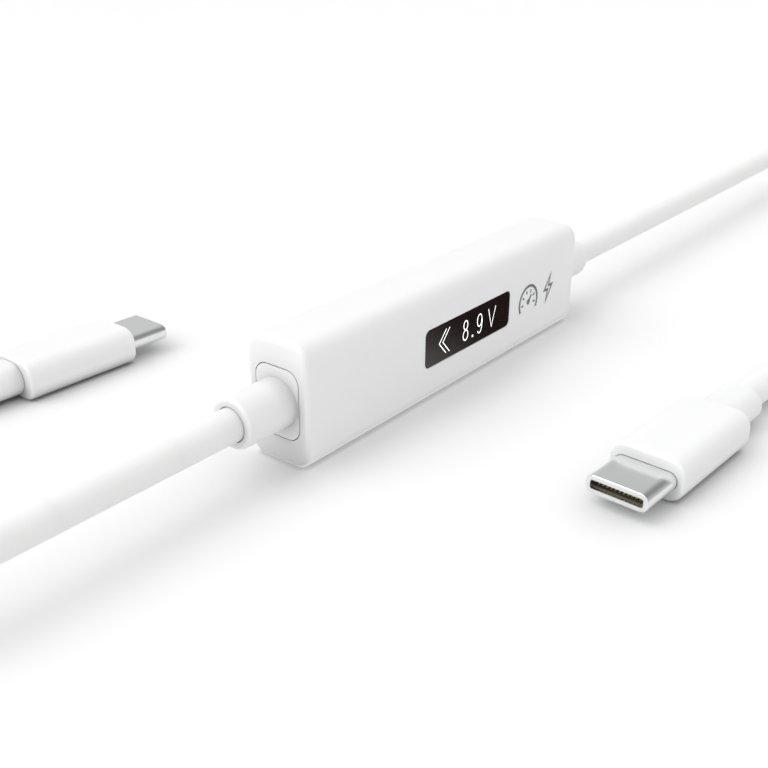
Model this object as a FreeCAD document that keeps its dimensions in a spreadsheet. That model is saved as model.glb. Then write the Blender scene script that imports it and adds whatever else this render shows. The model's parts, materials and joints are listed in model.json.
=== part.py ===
"""Inline USB-C power meter: a slim white case with a display window, a short cable and a long cable, and a
USB-C plug on the end of each.

Frame: +Z up, +X along the case, the display faces -Y. The origin is the centre of the face the case rests on.
The two cables are the same route turned half a turn about Z. Each route is a chain of spans: straight spans
and bent spans, joined at ball-and-socket cores where the flexible cable is free to bend.
"""

import FreeCAD, Part
import math
import os

import Sketcher
from FreeCAD import Placement, Rotation, Vector

DRIVING_DIMENSIONS = (
    # the case
    ("case_length", 65.4),
    ("case_depth", 9.9),
    ("case_height", 16.7),
    ("case_corner", 2.4),
    ("case_edge", 0.75),
    ("front_wall", 1.3),
    ("side_wall", 1.9),
    ("end_wall", 2.0),
    ("cover_lip", 0.45),
    ("cover_thickness", 1.2),
    ("seam_gap", 0.13),
    # the display window and the panel behind it
    ("window_centre", 1.95),
    ("window_length", 21.6),
    ("window_height", 5.7),
    ("window_corner", 0.95),
    ("window_thickness", 0.8),
    ("tape_thickness", 0.1),
    ("tape_border", 0.7),
    ("panel_length", 30.0),
    ("panel_height", 11.5),
    ("panel_thickness", 1.45),
    ("panel_ledge", 3.2),
    ("flex_thickness", 0.12),
    ("flex_width", 8.0),
    ("flex_bend", 1.55),
    ("cradle_length", 28.4),
    ("cradle_thickness", 2.05),
    ("cradle_rim", 1.6),
    # the circuit board
    ("board_length", 50.0),
    ("board_height", 12.2),
    ("board_thickness", 0.8),
    ("board_front", 0.4),
    ("post_size", 1.5),
    # the strain reliefs
    ("insert_width", 6.9),
    ("insert_height", 9.3),
    ("insert_corner", 1.8),
    ("flange_border", 0.9),
    ("flange_thickness", 1.0),
    ("collar_diameter", 6.55),
    ("collar_length", 7.9),
    ("collar_edge", 0.45),
    ("collar_clearance", 0.24),
    # the cable
    ("cable_diameter", 4.3),
    ("core_diameter", 3.2),
    ("core_gap", 0.05),
    ("bend_gap", 0.9),
    ("entry_length", 2.0),
    ("entry_reach", 0.4),
    ("lead_diameter", 0.7),
    ("short_run", 15.9),
    ("short_radius", 21.99),
    ("short_turn", 181.2),
    ("short_return", 22.3),
    ("long_run", 49.4),
    ("long_radius", 24.44),
    ("long_turn", 183.65),
    ("long_return", 61.9),
    # the plugs
    ("shell_width", 8.25),
    ("shell_height", 2.4),
    ("shell_wall", 0.3),
    ("shell_reach", 6.65),
    ("shell_length", 10.2),
    ("tongue_slot_width", 6.7),
    ("tongue_slot_height", 0.86),
    ("tongue_slot_depth", 5.2),
    ("lip_depth", 0.5),
    ("lip_round", 0.12),
    ("mouth_width", 6.85),
    ("mouth_height", 1.16),
    ("mouth_corner", 0.25),
    ("housing_setback", 0.55),
    ("housing_length", 8.2),
    ("contact_pitch", 0.54),
    ("contact_width", 0.24),
    ("contact_groove_height", 1.42),
    ("groove_start", 1.1),
    ("latch_thickness", 0.2),
    ("latch_height", 0.5),
    ("paddle_width", 7.9),
    ("paddle_length", 8.0),
    ("paddle_thickness", 0.8),
    ("boot_width", 10.1),
    ("boot_height", 5.6),
    ("boot_length", 18.0),
    ("boot_corner", 2.2),
    ("boot_front_wall", 1.2),
    ("boot_rear_wall", 1.0),
    ("boot_side_wall", 0.65),
    ("boot_edge", 0.4),
    ("neck_width", 6.4),
    ("neck_height", 4.8),
    ("neck_length", 8.0),
    ("neck_step", 0.9),
    ("neck_blind", 0.5),
    ("inner_mould_length", 4.6),
    ("fit_gap", 0.05),
)
CONTACTS_IN_A_ROW = 12
PLUG_LEAD_SPREAD = (-2.6, -0.9, 0.9, 2.6)
CHIP_TILES = {
    # node: (centre along the board, centre across the board, length, width, height)
    "microcontroller": (6.0, 0.0, 4.0, 4.0, 0.8),
    "current_shunt": (-15.5, 1.5, 6.4, 3.2, 0.7),
    "sense_amplifier": (-8.0, 0.0, 3.0, 3.0, 1.0),
    "voltage_regulator": (16.0, -1.5, 3.0, 1.7, 1.1),
}
CAPACITOR_SIZE = (2.0, 1.25, 0.85)
CAPACITOR_PLACES = ((-3.4, 3.6), (-0.4, 3.6), (10.6, 3.4), (10.6, -3.4), (16.0, 3.0), (20.0, 3.0))

doc = FreeCAD.newDocument("inline_power_meter")
parts = []


# ---------------------------------------------------------------- sizes


class Size:
    """A number and the formula over the sheet's cells that gives it, so both stay together."""

    def __init__(self, text, value):
        self.text = text
        self.value = value

    def _join(self, sign, other, value):
        return Size(f"({self.text} {sign} {as_size(other).text})", value)

    def __add__(self, other):
        return self._join("+", other, self.value + as_size(other).value)

    def __sub__(self, other):
        return self._join("-", other, self.value - as_size(other).value)

    def __mul__(self, other):
        return self._join("*", other, self.value * as_size(other).value)

    def __truediv__(self, other):
        return self._join("/", other, self.value / as_size(other).value)

    def __radd__(self, other):
        return as_size(other) + self

    def __rsub__(self, other):
        return as_size(other) - self

    def __neg__(self):
        return Size(f"(0 - {self.text})", -self.value)


def as_size(number):
    return number if isinstance(number, Size) else Size(repr(number), float(number))


def make_sheet():
    """Writes the driving dimensions to the sheet and returns one Size for each alias."""
    sheet = doc.addObject("Spreadsheet::Sheet", "Dimensions")
    sizes = {}
    for row, (alias, value) in enumerate(DRIVING_DIMENSIONS, start=1):
        sheet.set(f"A{row}", alias)
        sheet.set(f"B{row}", str(value))
        sheet.setAlias(f"B{row}", alias)
        sizes[alias] = Size(f"Dimensions.{alias}", value)
    doc.recompute()
    return sizes


D = make_sheet()
AXIS_HEIGHT = D["case_height"] / 2
BORE = D["core_diameter"] + D["core_gap"] * 2
PLUG_AXIS_HEIGHT = D["boot_height"] / 2
TABLE_CABLE_HEIGHT = D["cable_diameter"] / 2


def bind(thing, **properties):
    """Binds properties to sizes; a double underscore in a name stands for a dot."""
    for name, size in properties.items():
        thing.setExpression(name.replace("__", "."), as_size(size).text)


# ---------------------------------------------------------------- sketches and features


def new_body(label):
    body = doc.addObject("PartDesign::Body", label)
    body.Label = label
    return body


def keep(thing, label, placement=None):
    """Marks a finished object as a sub-part and puts it in its place."""
    doc.recompute()
    thing.Label = label
    if placement is not None:
        thing.Placement = placement
    parts.append(thing)
    return thing


def sketch_on(body, plane_role, across=0, up=0, out=0):
    """A sketch on one of the body's own origin planes, moved within the plane and out of it."""
    sketch = body.newObject("Sketcher::SketchObject", body.Name + "_sketch")
    plane = next(f for f in body.Origin.OriginFeatures if f.Role == plane_role)
    sketch.AttachmentSupport = [(plane, "")]
    sketch.MapMode = "FlatFace"
    bind(sketch, AttachmentOffset__Base__x=across, AttachmentOffset__Base__y=up, AttachmentOffset__Base__z=out)
    return sketch


def dimension(sketch, constraint, size):
    """Adds a driving constraint and ties it to its size."""
    index = sketch.addConstraint(constraint)
    name = f"size_{index}"
    sketch.renameConstraint(index, name)
    sketch.setExpression(f"Constraints.{name}", size.text)


def add_circle(sketch, diameter):
    circle = sketch.addGeometry(Part.Circle(Vector(), Vector(0, 0, 1), diameter.value / 2), False)
    sketch.addConstraint(Sketcher.Constraint("Coincident", circle, 3, -1, 1))
    dimension(sketch, Sketcher.Constraint("Diameter", circle, diameter.value), diameter)


def add_rectangle(sketch, width, height, centre_x=0, centre_y=0):
    """A rectangle centred on (centre_x, centre_y) of the sketch."""
    width, height, centre_x, centre_y = map(as_size, (width, height, centre_x, centre_y))
    left, low = centre_x.value - width.value / 2, centre_y.value - height.value / 2
    right, high = left + width.value, low + height.value
    corners = [Vector(left, low), Vector(right, low), Vector(right, high), Vector(left, high)]
    lines = [Part.LineSegment(corners[i], corners[(i + 1) % 4]) for i in range(4)]
    first = sketch.addGeometry(lines, False)[0]
    middle = sketch.addGeometry(Part.Point(Vector(centre_x.value, centre_y.value)), True)
    for i in range(4):
        sketch.addConstraint(Sketcher.Constraint("Coincident", first + i, 2, first + (i + 1) % 4, 1))
        direction = "Horizontal" if i % 2 == 0 else "Vertical"
        sketch.addConstraint(Sketcher.Constraint(direction, first + i))
    sketch.addConstraint(Sketcher.Constraint("Symmetric", first, 1, first + 2, 1, middle, 1))
    dimension(sketch, Sketcher.Constraint("DistanceX", -1, 1, middle, 1, centre_x.value), centre_x)
    dimension(sketch, Sketcher.Constraint("DistanceY", -1, 1, middle, 1, centre_y.value), centre_y)
    dimension(sketch, Sketcher.Constraint("DistanceX", first, 1, first, 2, width.value), width)
    dimension(sketch, Sketcher.Constraint("DistanceY", first + 1, 1, first + 1, 2, height.value), height)


def arc(centre_x, centre_y, radius, start_degrees):
    """A quarter turn, counterclockwise from start_degrees."""
    circle = Part.Circle(Vector(centre_x, centre_y, 0), Vector(0, 0, 1), radius)
    start = math.radians(start_degrees)
    return Part.ArcOfCircle(circle, start, start + math.pi / 2)


def add_rounded_rectangle(sketch, width, height, radius):
    """A rectangle centred on the sketch's origin, with its four corners rounded."""
    x, y, r = width.value / 2 - radius.value, height.value / 2 - radius.value, radius.value
    pieces = [
        Part.LineSegment(Vector(-x, -y - r), Vector(x, -y - r)),
        arc(x, -y, r, 270),
        Part.LineSegment(Vector(x + r, -y), Vector(x + r, y)),
        arc(x, y, r, 0),
        Part.LineSegment(Vector(x, y + r), Vector(-x, y + r)),
        arc(-x, y, r, 90),
        Part.LineSegment(Vector(-x - r, y), Vector(-x - r, -y)),
        arc(-x, -y, r, 180),
    ]
    first = sketch.addGeometry(pieces, False)[0]
    for i in range(8):
        sketch.addConstraint(Sketcher.Constraint("Tangent", first + i, 2, first + (i + 1) % 8, 1))
    for i in (0, 4):
        sketch.addConstraint(Sketcher.Constraint("Horizontal", first + i))
    sketch.addConstraint(Sketcher.Constraint("Vertical", first + 2))
    for i in (3, 5, 7):
        sketch.addConstraint(Sketcher.Constraint("Equal", first + 1, first + i))
    sketch.addConstraint(Sketcher.Constraint("Symmetric", first + 1, 3, first + 5, 3, -1, 1))
    straight_x, straight_y = width - radius * 2, height - radius * 2
    dimension(sketch, Sketcher.Constraint("DistanceX", first, 1, first, 2, straight_x.value), straight_x)
    dimension(sketch, Sketcher.Constraint("DistanceY", first + 2, 1, first + 2, 2, straight_y.value), straight_y)
    dimension(sketch, Sketcher.Constraint("Radius", first + 1, radius.value), radius)


def add_slot(sketch, width, height):
    """A slot with fully round ends, centred on the sketch's origin."""
    r = height.value / 2
    x = width.value / 2 - r
    ends = [Part.Circle(Vector(s * x, 0, 0), Vector(0, 0, 1), r) for s in (1, -1)]
    pieces = [
        Part.LineSegment(Vector(-x, -r), Vector(x, -r)),
        Part.ArcOfCircle(ends[0], -math.pi / 2, math.pi / 2),
        Part.LineSegment(Vector(x, r), Vector(-x, r)),
        Part.ArcOfCircle(ends[1], math.pi / 2, 3 * math.pi / 2),
    ]
    first = sketch.addGeometry(pieces, False)[0]
    for i in range(4):
        sketch.addConstraint(Sketcher.Constraint("Tangent", first + i, 2, first + (i + 1) % 4, 1))
    sketch.addConstraint(Sketcher.Constraint("Horizontal", first))
    sketch.addConstraint(Sketcher.Constraint("Equal", first + 1, first + 3))
    sketch.addConstraint(Sketcher.Constraint("Symmetric", first + 1, 3, first + 3, 3, -1, 1))
    straight, radius = width - height, height / 2
    dimension(sketch, Sketcher.Constraint("DistanceX", first, 1, first, 2, straight.value), straight)
    dimension(sketch, Sketcher.Constraint("Radius", first + 1, radius.value), radius)


def add_outline(sketch, points):
    """A closed outline of straight edges through points that stay where they are put."""
    corners = [Vector(*point) for point in points]
    lines = [Part.LineSegment(a, b) for a, b in zip(corners, corners[1:] + corners[:1])]
    first = sketch.addGeometry(lines, False)[0]
    for i in range(len(lines)):
        follower = first + (i + 1) % len(lines)
        sketch.addConstraint(Sketcher.Constraint("Coincident", first + i, 2, follower, 1))
        sketch.addConstraint(Sketcher.Constraint("Block", first + i))


def sweep_straight(kind, body, sketch, length, symmetric=False, backwards=False):
    """A Pad or Pocket of a sketch, checked to have changed the body's volume the right way."""
    doc.recompute()
    before = body.Shape.Volume if body.Tip else 0.0
    feature = body.newObject("PartDesign::" + kind, f"{body.Name}_{kind.lower()}")
    feature.Profile = sketch
    feature.Midplane = symmetric
    feature.Reversed = backwards
    bind(feature, Length=length)
    sketch.Visibility = False
    doc.recompute()
    grew = feature.Shape.Volume > before
    if grew != (kind == "Pad"):
        raise RuntimeError(f"{feature.Name} changed the volume the wrong way")
    return feature


def pad(body, sketch, length, **options):
    return sweep_straight("Pad", body, sketch, length, **options)


def pocket(body, sketch, length, **options):
    return sweep_straight("Pocket", body, sketch, length, **options)


def round_edges(body, radius, wanted):
    """Fillets the edges of the body's latest feature for which wanted(edge) is true."""
    doc.recompute()
    base = body.Tip
    names = [f"Edge{i}" for i, edge in enumerate(base.Shape.Edges, start=1) if wanted(edge)]
    fillet = body.newObject("PartDesign::Fillet", body.Name + "_fillet")
    fillet.Base = (base, names)
    bind(fillet, Radius=radius)
    doc.recompute()
    return fillet


def runs_along(axis):
    """A test for straight edges parallel to an axis."""

    def wanted(edge):
        a, b = edge.Vertexes[0].Point, edge.Vertexes[-1].Point
        span = b - a
        return span.Length > 1e-6 and abs(span.normalize().dot(axis)) > 0.999

    return wanted


def lies_at(axis, offset, reach=None):
    """A test for edges that lie in the plane at offset along axis, within reach of the axis if given."""

    def wanted(edge):
        points = edge.discretize(5)
        in_plane = all(abs(p.dot(axis) - offset) < 1e-4 for p in points)
        if not in_plane or reach is None:
            return in_plane
        return all((p - axis * p.dot(axis)).Length >= reach for p in points)

    return wanted


AXIS_X, AXIS_Y, AXIS_Z = Vector(1, 0, 0), Vector(0, 1, 0), Vector(0, 0, 1)


# ---------------------------------------------------------------- case


def case_blank(label):
    """The outside form of the case: a bar with rounded long edges and softened ends."""
    body = new_body(label)
    section = sketch_on(body, "YZ_Plane", up=AXIS_HEIGHT)
    add_rectangle(section, D["case_depth"], D["case_height"])
    pad(body, section, D["case_length"], symmetric=True)
    round_edges(body, D["case_corner"], runs_along(AXIS_X))
    half = D["case_length"].value / 2
    at_ends = (lies_at(AXIS_X, half), lies_at(AXIS_X, -half))
    round_edges(body, D["case_edge"], lambda edge: any(test(edge) for test in at_ends))
    return body


def case_shell():
    """The case: a tray open at the back, with a window recess in front and an opening at each end."""
    body = case_blank("case_shell")
    back = D["case_depth"] / 2
    cavity_length = D["case_length"] - D["end_wall"] * 2
    cavity_height = D["case_height"] - D["side_wall"] * 2

    recess = sketch_on(body, "XZ_Plane", up=AXIS_HEIGHT, out=-back)
    add_rectangle(recess, cavity_length + D["cover_lip"] * 2, cavity_height + D["cover_lip"] * 2)
    pocket(body, recess, D["cover_thickness"], backwards=True)

    cavity = sketch_on(body, "XZ_Plane", up=AXIS_HEIGHT, out=-back)
    add_rectangle(cavity, cavity_length, cavity_height)
    pocket(body, cavity, D["case_depth"] - D["front_wall"], backwards=True)

    window = sketch_on(body, "XZ_Plane", across=D["window_centre"], up=AXIS_HEIGHT, out=back)
    add_rounded_rectangle(window, D["window_length"], D["window_height"], D["window_corner"])
    pocket(body, window, D["window_thickness"] + D["tape_thickness"])

    view = sketch_on(body, "XZ_Plane", across=D["window_centre"], up=AXIS_HEIGHT, out=back)
    border = D["tape_border"] * 2
    add_rectangle(view, D["window_length"] - border, D["window_height"] - border)
    pocket(body, view, D["front_wall"] + 0.5)

    openings = sketch_on(body, "YZ_Plane", up=AXIS_HEIGHT)
    gap = D["seam_gap"] * 2
    add_rounded_rectangle(
        openings, D["insert_width"] + gap, D["insert_height"] + gap, D["insert_corner"] + D["seam_gap"]
    )
    pocket(body, openings, D["case_length"] + 1, symmetric=True)

    posts = sketch_on(body, "XZ_Plane", up=AXIS_HEIGHT, out=back - D["front_wall"])
    reach_x = D["board_length"] / 2 - D["post_size"]
    reach_z = (cavity_height - D["post_size"]) / 2
    for side_x in (-1, 1):
        for side_z in (-1, 1):
            add_rectangle(posts, D["post_size"], D["post_size"], reach_x * side_x, reach_z * side_z)
    pad(body, posts, back - D["front_wall"] + D["board_front"], backwards=True)
    keep(body, "case_shell")


def back_cover():
    """The flush plate that closes the back of the case, with two rails that locate it in the cavity."""
    blank = case_blank("cover_blank")
    length = D["case_length"] - (D["end_wall"] - D["cover_lip"] + D["seam_gap"]) * 2
    height = D["case_height"] - (D["side_wall"] - D["cover_lip"] + D["seam_gap"]) * 2
    plate = doc.addObject("Part::Box", "cover_plate")
    bind(plate, Length=length, Width=D["cover_thickness"], Height=height)
    bind(
        plate,
        Placement__Base__x=-(length / 2),
        Placement__Base__y=D["case_depth"] / 2 - D["cover_thickness"],
        Placement__Base__z=AXIS_HEIGHT - height / 2,
    )
    trimmed = doc.addObject("Part::Common", "cover_trimmed")
    trimmed.Base, trimmed.Tool = blank, plate

    rails = []
    rail_length, rail_drop, rail_width = D["board_length"], 1.0, 0.8
    wall_inside = D["case_height"] / 2 - D["side_wall"] - D["fit_gap"]
    for side in (-1, 1):
        rail = doc.addObject("Part::Box", "cover_rail")
        bind(rail, Length=rail_length, Width=rail_drop, Height=rail_width)
        inner = wall_inside if side > 0 else rail_width - wall_inside
        bind(
            rail,
            Placement__Base__x=-(rail_length / 2),
            Placement__Base__y=D["case_depth"] / 2 - D["cover_thickness"] - rail_drop,
            Placement__Base__z=AXIS_HEIGHT + inner - rail_width,
        )
        rails.append(rail)
    cover = doc.addObject("Part::MultiFuse", "back_cover")
    cover.Shapes = [trimmed] + rails
    keep(cover, "back_cover")


# ---------------------------------------------------------------- display


def front_sketch(body, depth_behind_front, along=D["window_centre"]):
    """A sketch parallel to the front face, behind it by the given depth, centred on the window."""
    out = D["case_depth"] / 2 - depth_behind_front
    return sketch_on(body, "XZ_Plane", across=along, up=AXIS_HEIGHT, out=out)


def display_window():
    body = new_body("display_window")
    gap = D["fit_gap"] * 2
    outline = front_sketch(body, as_size(0))
    add_rounded_rectangle(
        outline, D["window_length"] - gap, D["window_height"] - gap, D["window_corner"] - D["fit_gap"]
    )
    pad(body, outline, D["window_thickness"], backwards=True)
    round_edges(body, 0.1, lies_at(AXIS_Y, -D["case_depth"].value / 2))
    keep(body, "display_window")


def window_tape():
    """The adhesive frame between the window and the ledge it sits on."""
    body = new_body("window_tape")
    frame = front_sketch(body, D["window_thickness"])
    gap, border = D["fit_gap"] * 2, D["tape_border"] * 2
    add_rounded_rectangle(
        frame, D["window_length"] - gap, D["window_height"] - gap, D["window_corner"] - D["fit_gap"]
    )
    add_rectangle(frame, D["window_length"] - border, D["window_height"] - border)
    pad(body, frame, D["tape_thickness"], backwards=True)
    keep(body, "window_tape")


def oled_panel():
    """Two sheets of glass: the front one is shorter and leaves a ledge for the driver and the flex."""
    body = new_body("oled_panel")
    half = D["panel_thickness"] / 2
    behind_wall = D["front_wall"] + D["fit_gap"]
    front = front_sketch(body, behind_wall, along=D["window_centre"] - D["panel_ledge"] / 2)
    add_rectangle(front, D["panel_length"] - D["panel_ledge"], D["panel_height"])
    pad(body, front, half, backwards=True)
    rear = front_sketch(body, behind_wall + half)
    add_rectangle(rear, D["panel_length"], D["panel_height"])
    pad(body, rear, half, backwards=True)
    keep(body, "oled_panel")


def oled_flex():
    """The flexible tail: it leaves the ledge, folds behind the glass and lies on the board."""
    thickness, radius = D["flex_thickness"], D["flex_bend"]
    glass_end = D["window_centre"].value + D["panel_length"].value / 2
    ledge = -D["case_depth"].value / 2 + D["front_wall"].value + D["fit_gap"].value
    start_y = ledge + D["panel_thickness"].value / 2 - thickness.value
    bend_x = glass_end + 0.5
    body = new_body("oled_flex")
    strip = sketch_on(body, "XY_Plane", across=bend_x, up=start_y + radius.value, out=AXIS_HEIGHT)
    outer, inner = radius.value, radius.value - thickness.value
    arms = (2.6, 6.0)
    circles = [Part.Circle(Vector(), Vector(0, 0, 1), r) for r in (outer, inner)]
    pieces = [
        Part.LineSegment(Vector(-arms[0], -outer), Vector(0, -outer)),
        Part.ArcOfCircle(circles[0], -math.pi / 2, math.pi / 2),
        Part.LineSegment(Vector(0, outer), Vector(-arms[1], outer)),
        Part.LineSegment(Vector(-arms[1], outer), Vector(-arms[1], inner)),
        Part.LineSegment(Vector(-arms[1], inner), Vector(0, inner)),
        Part.ArcOfCircle(circles[1], -math.pi / 2, math.pi / 2),
        Part.LineSegment(Vector(0, -inner), Vector(-arms[0], -inner)),
        Part.LineSegment(Vector(-arms[0], -inner), Vector(-arms[0], -outer)),
    ]
    strip.addGeometry(pieces, False)
    for i in range(len(pieces)):
        strip.addConstraint(Sketcher.Constraint("Block", i))
    pad(body, strip, D["flex_width"], symmetric=True)
    keep(body, "oled_flex")


def oled_cradle():
    """The frame that holds the glass against the front wall and spaces it from the board."""
    body = new_body("oled_cradle")
    behind = D["front_wall"] + D["fit_gap"] * 2 + D["panel_thickness"]
    along = D["window_centre"] - D["panel_ledge"] / 2
    frame = front_sketch(body, behind, along=along)
    rim = D["cradle_rim"] * 2
    add_rectangle(frame, D["cradle_length"], D["panel_height"])
    add_rectangle(frame, D["cradle_length"] - rim, D["panel_height"] - rim)
    pad(body, frame, D["cradle_thickness"], backwards=True)
    bar = front_sketch(body, behind, along=along)
    add_rectangle(bar, D["cradle_rim"], D["panel_height"])
    pad(body, bar, D["cradle_thickness"] / 2, backwards=True)
    keep(body, "oled_cradle")


# ---------------------------------------------------------------- circuit board


def main_board():
    body = new_body("main_board")
    outline = sketch_on(body, "XZ_Plane", up=AXIS_HEIGHT, out=-D["board_front"])
    add_rectangle(outline, D["board_length"], D["board_height"])
    pad(body, outline, D["board_thickness"], backwards=True)
    round_edges(body, 0.6, runs_along(AXIS_Y))
    keep(body, "main_board")


def board_tile(name, along, across, length, width, height):
    """A chip-sized block on the rear face of the board."""
    tile = doc.addObject("Part::Box", name)
    bind(tile, Length=length, Width=height, Height=width)
    bind(
        tile,
        Placement__Base__x=as_size(along) - as_size(length) / 2,
        Placement__Base__y=D["board_front"] + D["board_thickness"],
        Placement__Base__z=AXIS_HEIGHT + across - as_size(width) / 2,
    )
    return tile


def board_components():
    for name, (along, across, length, width, height) in CHIP_TILES.items():
        tile = board_tile(name + "_block", along, across, length, width, height)
        edge = doc.addObject("Part::Chamfer", name)
        doc.recompute()
        bevel = 0.12
        rear = (D["board_front"] + D["board_thickness"]).value + height
        top = [i for i, e in enumerate(tile.Shape.Edges, start=1) if lies_at(AXIS_Y, rear)(e)]
        edge.Base = tile
        edge.Edges = [(i, bevel, bevel) for i in top]
        keep(edge, name)
    group = doc.addObject("Part::Compound", "ceramic_capacitors")
    length, width, height = CAPACITOR_SIZE
    group.Links = [
        board_tile(f"capacitor_{i}", along, across, length, width, height)
        for i, (along, across) in enumerate(CAPACITOR_PLACES)
    ]
    keep(group, "ceramic_capacitors")


# ---------------------------------------------------------------- frames along the cables


class Frame:
    """A place and two directions: ahead along the cable, and across it to the outside of its bend."""

    def __init__(self, place, ahead, across):
        self.place, self.ahead, self.across = place, ahead, across

    def moved(self, distance):
        return Frame(self.place + self.ahead * distance, self.ahead, self.across)

    def turned(self, radius, degrees):
        """The frame after a bend away from across, about the centre at -across * radius."""
        angle = math.radians(degrees)
        centre = self.place - self.across * radius
        across = self.across * math.cos(angle) + self.ahead * math.sin(angle)
        ahead = self.ahead * math.cos(angle) - self.across * math.sin(angle)
        return Frame(centre + across * radius, ahead, across)

    def placement(self, x_axis, y_axis, place=None):
        """The placement that carries the X and Y axes to the given directions."""
        z_axis = x_axis.cross(y_axis)
        rotation = Rotation(x_axis, y_axis, z_axis, "XYZ")
        return Placement(place or self.place, rotation)


def half_turn(frame):
    """The same frame on the other side of the meter."""
    flip = Rotation(AXIS_Z, 180)
    return Frame(*(flip.multVec(v) for v in (frame.place, frame.ahead, frame.across)))


def cable_spans(side):
    """The spans of one cable, from the meter to the plug: (frame, kind, length or radius, degrees).

    The cable leaves the meter at the height of its axis, turns back in a plane that slopes down to the
    table, and rises a little to the plug at its end.
    """
    prefix, runs, returns = {"short": ("short", 2, 1), "long": ("long", 2, 2)}[side]
    start_x = D["case_length"] / 2 + D["collar_length"] + D["entry_reach"] + D["bend_gap"]
    place = Vector(start_x.value, 0, AXIS_HEIGHT.value)
    radius, turn = D[prefix + "_radius"], D[prefix + "_turn"]
    drop = AXIS_HEIGHT.value - TABLE_CABLE_HEIGHT.value
    slope = math.asin(drop / (radius.value * (1 - math.cos(math.radians(turn.value)))))
    frame = Frame(place, AXIS_X, Vector(0, math.cos(slope), math.sin(slope)))
    spans = []
    for _ in range(runs):
        spans.append((frame, "straight", D[prefix + "_run"], None))
        frame = frame.moved(D[prefix + "_run"].value)
    for _ in range(2):
        spans.append((frame, "bent", radius, turn / 2))
        frame = frame.turned(radius.value, turn.value / 2)
    heading = Vector(frame.ahead.x, frame.ahead.y, 0).normalize()
    rise = PLUG_AXIS_HEIGHT.value - TABLE_CABLE_HEIGHT.value
    for i in range(returns):
        length = D[prefix + "_return"]
        climb = rise if i == returns - 1 else 0.0
        ahead = (heading * length.value + AXIS_Z * climb).normalize()
        frame = Frame(frame.place, ahead, AXIS_Z.cross(ahead).normalize())
        spans.append((frame, "straight", length, None))
        frame = frame.moved(length.value)
    plug_frame = Frame(frame.place, heading, AXIS_Z.cross(heading))
    return spans, plug_frame


# ---------------------------------------------------------------- cable spans


def boolean(kind, base, tool):
    result = doc.addObject("Part::" + kind, f"{base.Name}_{kind.lower()}")
    result.Base, result.Tool = base, tool
    return result


def rod(diameter, length, start):
    """A round bar along X, from start."""
    bar = doc.addObject("Part::Cylinder", "bar")
    bind(bar, Radius=as_size(diameter) / 2, Height=length, Placement__Base__x=start)
    bar.Placement.Rotation = Rotation(AXIS_Y, 90)
    return bar


def ball(diameter, x, y=0.0):
    """A sphere at (x, y)."""
    sphere = doc.addObject("Part::Sphere", "ball")
    bind(sphere, Radius=as_size(diameter) / 2)
    sphere.Placement.Base = Vector(x, y, 0)
    return sphere


def bent_bar(radius, diameter, degrees, start_degrees):
    """A round bar bent about the origin, beginning at start_degrees from the X axis."""
    ring = doc.addObject("Part::Torus", "bent_bar")
    bind(ring, Radius1=radius, Radius2=as_size(diameter) / 2, Angle3=degrees)
    ring.Placement.Rotation = Rotation(AXIS_Z, start_degrees)
    return ring


def straight_span(frame, length, name):
    """Jacket and core of a straight span, from one bending point to the next."""
    gap = D["bend_gap"]
    jacket = boolean(
        "Cut", rod(D["cable_diameter"], length - gap * 2, gap), rod(BORE, length - gap * 2, gap)
    )
    core = boolean("Fuse", rod(D["core_diameter"], length - gap, gap), ball(D["core_diameter"], length.value))
    core = boolean("Cut", core, ball(BORE, 0.0))
    placement = frame.placement(frame.ahead, frame.across)
    keep(jacket, "cable_" + name + "_jacket", placement)
    keep(core, "cable_" + name + "_core", placement)


def bent_span(frame, radius, degrees, name):
    """Jacket and core of a span bent to a part of a circle."""
    gap_degrees = math.degrees(D["bend_gap"].value / radius.value)
    swept = degrees - gap_degrees
    jacket = boolean(
        "Cut",
        bent_bar(radius, D["cable_diameter"], swept - gap_degrees, gap_degrees),
        bent_bar(radius, BORE, swept - gap_degrees, gap_degrees),
    )
    end = math.radians(degrees.value)
    end_x, end_y = radius.value * math.cos(end), radius.value * math.sin(end)
    core = boolean(
        "Fuse",
        bent_bar(radius, D["core_diameter"], swept, gap_degrees),
        ball(D["core_diameter"], end_x, end_y),
    )
    core = boolean("Cut", core, ball(BORE, radius.value))
    centre = frame.place - frame.across * radius.value
    placement = frame.placement(frame.across, frame.ahead, centre)
    keep(jacket, "cable_" + name + "_jacket", placement)
    keep(core, "cable_" + name + "_core", placement)


def lead(start, end, diameter):
    """One insulated wire between two points."""
    wire = doc.addObject("Part::Cylinder", "lead")
    run = end - start
    bind(wire, Radius=as_size(diameter) / 2)
    wire.Height = run.Length
    wire.Placement = Placement(start, Rotation(AXIS_Z, run))
    return wire


def cables():
    """Both cables; the short one takes the half turn."""
    plug_frames = {}
    for side, turn in (("short", half_turn), ("long", lambda frame: frame)):
        spans, plug_frame = cable_spans(side)
        for number, (frame, kind, size, degrees) in enumerate(spans, start=1):
            name = f"{side}_{number}"
            if kind == "straight":
                straight_span(turn(frame), size, name)
            else:
                bent_span(turn(frame), size, degrees, name)
        plug_frames[side] = turn(plug_frame)
    return plug_frames


# ---------------------------------------------------------------- ends of the case


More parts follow.
